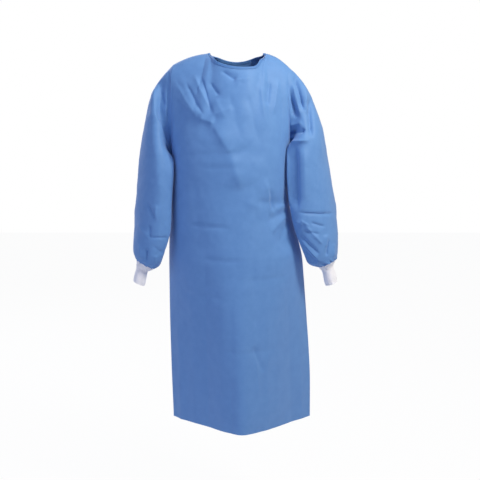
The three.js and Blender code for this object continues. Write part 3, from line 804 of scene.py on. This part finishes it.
# Cotton-polyester rib knit, undyed: soft and matt, its wales standing up. Its colour runs from white on
# the loops to a little lavender-grey between them, where the bump sinks: painted shade in the hollows.
rib_knit, tree, out = new_material("cotton-polyester rib knit, undyed")
place = add_node(tree, "ShaderNodeTexCoord")
wales = add_node(tree, "ShaderNodeMapping", {"Vector": place.outputs["UV"], "Scale": (RIBS, 46.0, 1.0)})
loops = add_node(
    tree,
    "ShaderNodeTexWave",
    {"Vector": wales.outputs[0], "Scale": 0.5, "Distortion": 1.2, "Detail": 1.0},
    bands_direction="Y",
)
fuzz = add_node(tree, "ShaderNodeTexNoise", {"Vector": place.outputs["Object"], "Scale": 900.0, "Detail": 3.0})
# Painted shade: the colour darkens from white to lavender-grey where the loops' bump sinks.
tint = add_node(tree, "ShaderNodeValToRGB", {"Fac": loops.outputs["Fac"]})
tint.color_ramp.elements[0].color = to_linear("#F4F2FA")
tint.color_ramp.elements[1].color = to_linear("#FFFFFF")
height = add_node(tree, "ShaderNodeMath", {0: loops.outputs["Fac"], 1: fuzz.outputs["Fac"]}, operation="ADD")
bump = add_node(tree, "ShaderNodeBump", {"Strength": 0.5, "Distance": 0.0004, "Height": height.outputs[0]})
knit = add_node(
    tree,
    "ShaderNodeBsdfPrincipled",
    {
        "Base Color": tint.outputs["Color"],
        "Roughness": 0.92,
        "Sheen Weight": 0.25,
        "Sheen Roughness": 0.6,
        "Normal": bump.outputs["Normal"],
    },
)
tree.links.new(knit.outputs[0], out.inputs["Surface"])

for hand in ("right", "left"):
    cuff = cloth_grid(f"cuff_{hand}_knit", COLUMNS_A_RIB * RIBS, 44, cuff_place(hand))
    edit_whole(cuff, bpy.ops.mesh.remove_doubles, threshold=WELD)
    if hand == "right":
        edit_whole(cuff, bpy.ops.mesh.flip_normals)
    give_wall(cuff, CUFF_WALL)
    cuff.data.materials.append(rib_knit)
    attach(cuff, "root")
    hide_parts(f"cuff_{hand}")

# ---------- Neck binding ----------
# A tape of the same cloth, folded lengthways and stitched on along the raw neck edge: it runs from the
# right back's lapped corner round the front to the left back's, and stands nearly 9 mm high.
TAPE_WALL = 0.0012
# The inside of the fold: its height, its breadth, and how proud of the panels its outer leg is. The wall
# of the tape goes on outside it.
BINDING_TALL, BINDING_THICK, BINDING_PROUD = 0.008, 0.0024, 0.0005
EDGE_GAP = 0.00025  # from the panels' raw edge to the tape
STITCHES, STITCH_ROW, STITCH_DEEP = 150, 0.0025, 0.00018  # how many, how high up, how deep

# Folded non-woven tape: the gown's cloth in four layers, so a little darker. The ripple of its stitches
# is in the binding's shape.
tape_cloth = nonwoven("folded polypropylene tape, blue", "#4C7CBB", "#5384C2")


def neck_edge():
    """The neck edge from the right back's corner to the left back's, and its outward direction."""
    lap = math.acos(OVERLAP_SHARE / NECK_SHARE)
    places = (
        (BACK, "right", NECK_SHARE * np.cos(np.linspace(lap, math.pi, 90))),
        (FRONT, None, np.linspace(-NECK_SHARE, NECK_SHARE, 150)[1:-1]),
        (BACK, "left", NECK_SHARE * np.cos(np.linspace(0, math.pi - lap, 90))),
    )
    edge, out = [], []
    for side, hand, shares in places:
        s, v = np.meshgrid(shares, [1.98, 2.0])
        face = front_at(s, v) if side == FRONT else back_at(hand, s, v)
        # s falls along both backs, so the same turn is outwards there as on the front.
        edge.append(face[1])
        out.append(outward_of(face, flip=False)[1])
    edge, out = np.concatenate(edge), np.concatenate(out)
    for _ in range(12):
        out[1:-1] = (out[:-2] + 2 * out[1:-1] + out[2:]) / 4
    return edge, out / np.linalg.norm(out, axis=-1, keepdims=True)


def binding_place(across, up):
    """Where the points of the binding lie, along the neck edge and over the fold."""
    edge, out = neck_edge()
    run = np.concatenate([[0], np.cumsum(np.linalg.norm(np.diff(edge, axis=0), axis=-1))])
    run /= run[-1]
    at = np.stack([np.interp(across[0], run, edge[:, k]) for k in range(3)], -1)
    out = np.stack([np.interp(across[0], run, out[:, k]) for k in range(3)], -1)
    along = np.gradient(at, axis=0)
    for _ in range(8):
        along[1:-1] = (along[:-2] + 2 * along[1:-1] + along[2:]) / 4
    rise = np.cross(out, along)
    rise /= np.linalg.norm(rise, axis=-1, keepdims=True)
    # Up the outer leg, over the fold and down the inner leg, with stitch dimples near both lower edges.
    radius = BINDING_THICK / 2
    leg = BINDING_TALL - radius - EDGE_GAP
    walked = up * (2 * leg + math.pi * radius)
    turn = np.clip((walked - leg) / radius, 0, math.pi)
    height = EDGE_GAP + np.minimum(walked, leg) - np.maximum(walked - leg - math.pi * radius, 0)
    height += radius * np.sin(turn)
    in_row = np.exp(-(((height - STITCH_ROW) / 0.0008) ** 2))
    stitches = STITCH_DEEP * in_row * (np.sin(across * 2 * math.pi * STITCHES) + 1)
    deep = radius * (1 - np.cos(turn)) + stitches * np.cos(turn)
    return at[None] + out[None] * (BINDING_PROUD - deep)[..., None] + rise[None] * height[..., None]


binding = cloth_grid("neck_binding_tape", 420, 24, binding_place)
edit_whole(binding, bpy.ops.mesh.flip_normals)
give_wall(binding, TAPE_WALL / 2)
binding.data.materials.append(tape_cloth)
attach(binding, "root")
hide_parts("neck_binding")

# ---------- Hook-and-loop tab ----------
# Two strips of white nylon tape welded to the lapped backs just under the neckline: the hooks face in, on
# the left back's inner side, and the loops face out, on the right back.
STRIP_V, STRIP_S = (1.900, 1.958), (-0.14, 0.14)
STRIP_GAP = 0.00035

nylon, tree, out = new_material("nylon hook-and-loop tape, white")
place = add_node(tree, "ShaderNodeTexCoord")
pile = add_node(
    tree, "ShaderNodeTexVoronoi", {"Vector": place.outputs["Object"], "Scale": 900.0, "Randomness": 0.3}
)
bump = add_node(
    tree, "ShaderNodeBump", {"Strength": 0.9, "Distance": 0.0006, "Height": pile.outputs["Distance"]}
)
weave = add_node(
    tree,
    "ShaderNodeBsdfPrincipled",
    {"Base Color": to_linear("#E6E8EC"), "Roughness": 0.8, "Normal": bump.outputs["Normal"]},
)
tree.links.new(weave.outputs[0], out.inputs["Surface"])


def lying_on(face, off):
    """Moves a grid of points off the back that they lie on."""
    return face + outward_of(face, flip=True) * off


def strip_place(hand, off):
    def place(across, up):
        # Corners rounded, by drawing the ends in.
        ends = 1 - 0.03 * (2 * np.abs(up - 0.5)) ** 6
        s = (STRIP_S[0] + STRIP_S[1]) / 2 + (STRIP_S[1] - STRIP_S[0]) * (across - 0.5) * ends
        v = STRIP_V[0] + (STRIP_V[1] - STRIP_V[0]) * up
        return lying_on(back_at(hand, s, v), off)

    return place


for name, hand, off in (
    ("hook_strip", "left", -CLOTH_WALL - STRIP_GAP),
    ("loop_strip", "right", STRIP_GAP + TAPE_WALL),
):
    tab = cloth_grid(f"{name}_tape", 60, 16, strip_place(hand, off))
    edit_whole(tab, bpy.ops.mesh.flip_normals)
    give_wall(tab, TAPE_WALL)
    tab.data.materials.append(nylon)
    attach(tab, "root")
    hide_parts(name)

# ---------- Waist tie ----------
# Two tapes of folded cloth, caught in the side seams, drawn round the back and knotted over the lap: the
# right one climbs from the right back on to the left one. Both ends hang from the knot.
TIE_GAP = 0.0006
TIE_V = (10.08 / 13, 10.42 / 13)  # its lower and upper edges, as shares of the way from hem to underarms
TIE_SHORT = 0.021  # each stops this share of a half back short of the centre, inside the knot


def tie_place(hand):
    def place(across, up):
        start, end = (-1, -TIE_SHORT) if hand == "right" else (TIE_SHORT, 1)
        s = start + (end - start) * across
        # The tape creases a little along its length, as a drawn tape does.
        v = TIE_V[0] + (TIE_V[1] - TIE_V[0]) * up + 0.0012 * np.sin(across * 19 + (hand == "left"))
        face = back_at(hand, s, v, climb=ease((s + 0.36) / 0.12))
        pleat = 0.0006 * (1 - np.cos(up * 2 * math.pi)) * (0.6 + 0.4 * np.sin(across * 31))
        return lying_on(face, (TIE_GAP + TAPE_WALL + pleat)[..., None])

    return place


for hand in ("right", "left"):
    tie = cloth_grid(f"waist_tie_{hand}", 200, 12, tie_place(hand))
    edit_whole(tie, bpy.ops.mesh.flip_normals)
    give_wall(tie, TAPE_WALL)
    tie.data.materials.append(tape_cloth)
    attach(tie, "root")
    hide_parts(f"tie_{hand}")

TAILS = [
    # hand, s of its two edges at the knot, how far they go aside by the end, lowest v, a wave's start,
    # length
    ("right", -0.060, -0.008, -0.0245, 5 / 13, 0.4, 0.33),
    ("left", 0.008, 0.060, 0.0140, 6 / 13, 2.2, 0.27),
]


def tail_place(first, last, aside, lowest, start):
    def place(across, up):
        v = lowest + (10 / 13 - lowest) * up
        s = first + (last - first) * across + aside * (1 - up)
        hanging = ease((1 - up) / 0.2)
        wave = 0.0035 * hanging * (1 - np.cos((1 - up) * 8 + start)) * 0.5
        curl = 0.0016 * hanging * (2 * across - 1) ** 2
        face = back_at("left", s, v)
        return lying_on(face, (2 * TIE_GAP + TAPE_WALL + wave + curl)[..., None])

    return place


for hand, first, last, aside, lowest, start, length in TAILS:
    tail = cloth_grid(f"tie_tail_{hand}_tape", 14, 160, tail_place(first, last, aside, lowest, start))
    edit_whole(tail, bpy.ops.mesh.flip_normals)
    give_wall(tail, TAPE_WALL)
    tail.data.materials.append(tape_cloth)
    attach(tail, "root")
    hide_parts(f"tie_tail_{hand}")

# The knot itself: one tape wrapped over the other, pulled tight, with the creases of its turns.
KNOT_WIDE, KNOT_TALL, KNOT_DEEP = 0.034, 0.026, 0.013
KNOT_OFF = 0.009  # from the left back's face to the middle of the knot
s, v = np.meshgrid([-0.01, 0.0, 0.01], [TIE_V[0], sum(TIE_V) / 2, TIE_V[1]])
face = back_at("left", s, v)
knot_at = (face + outward_of(face, flip=True) * KNOT_OFF)[1, 1]
bpy.ops.object.select_all(action="DESELECT")
bpy.ops.mesh.primitive_uv_sphere_add(segments=96, ring_count=64, radius=0.5)
knot = bpy.context.object
knot.name = "waist_tie_knot"
for vertex in knot.data.vertices:
    x, y, z = vertex.co
    slant = x * 0.8 + z * 0.45  # across the turn that is wrapped over the front
    wrap = math.exp(-((slant / 0.17) ** 2))
    groove = math.exp(-(((abs(slant) - 0.2) / 0.045) ** 2))
    pleats = 0.018 * math.sin((x * 0.45 - z * 0.8) * 34) * wrap
    sides = 0.03 * math.sin(z * 26 + 4 * x) * (1 - wrap) * min(1, abs(x) * 3)
    grown = 0.95 + 0.02 * wrap - 0.2 * groove + pleats + sides
    vertex.co = (
        knot_at[0] + x * KNOT_WIDE * grown,
        knot_at[1] + y * KNOT_DEEP * grown,
        knot_at[2] + z * KNOT_TALL * grown,
    )
bpy.ops.object.shade_smooth()
knot.data.materials.append(tape_cloth)
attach(knot, "root")
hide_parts("tie_knot")
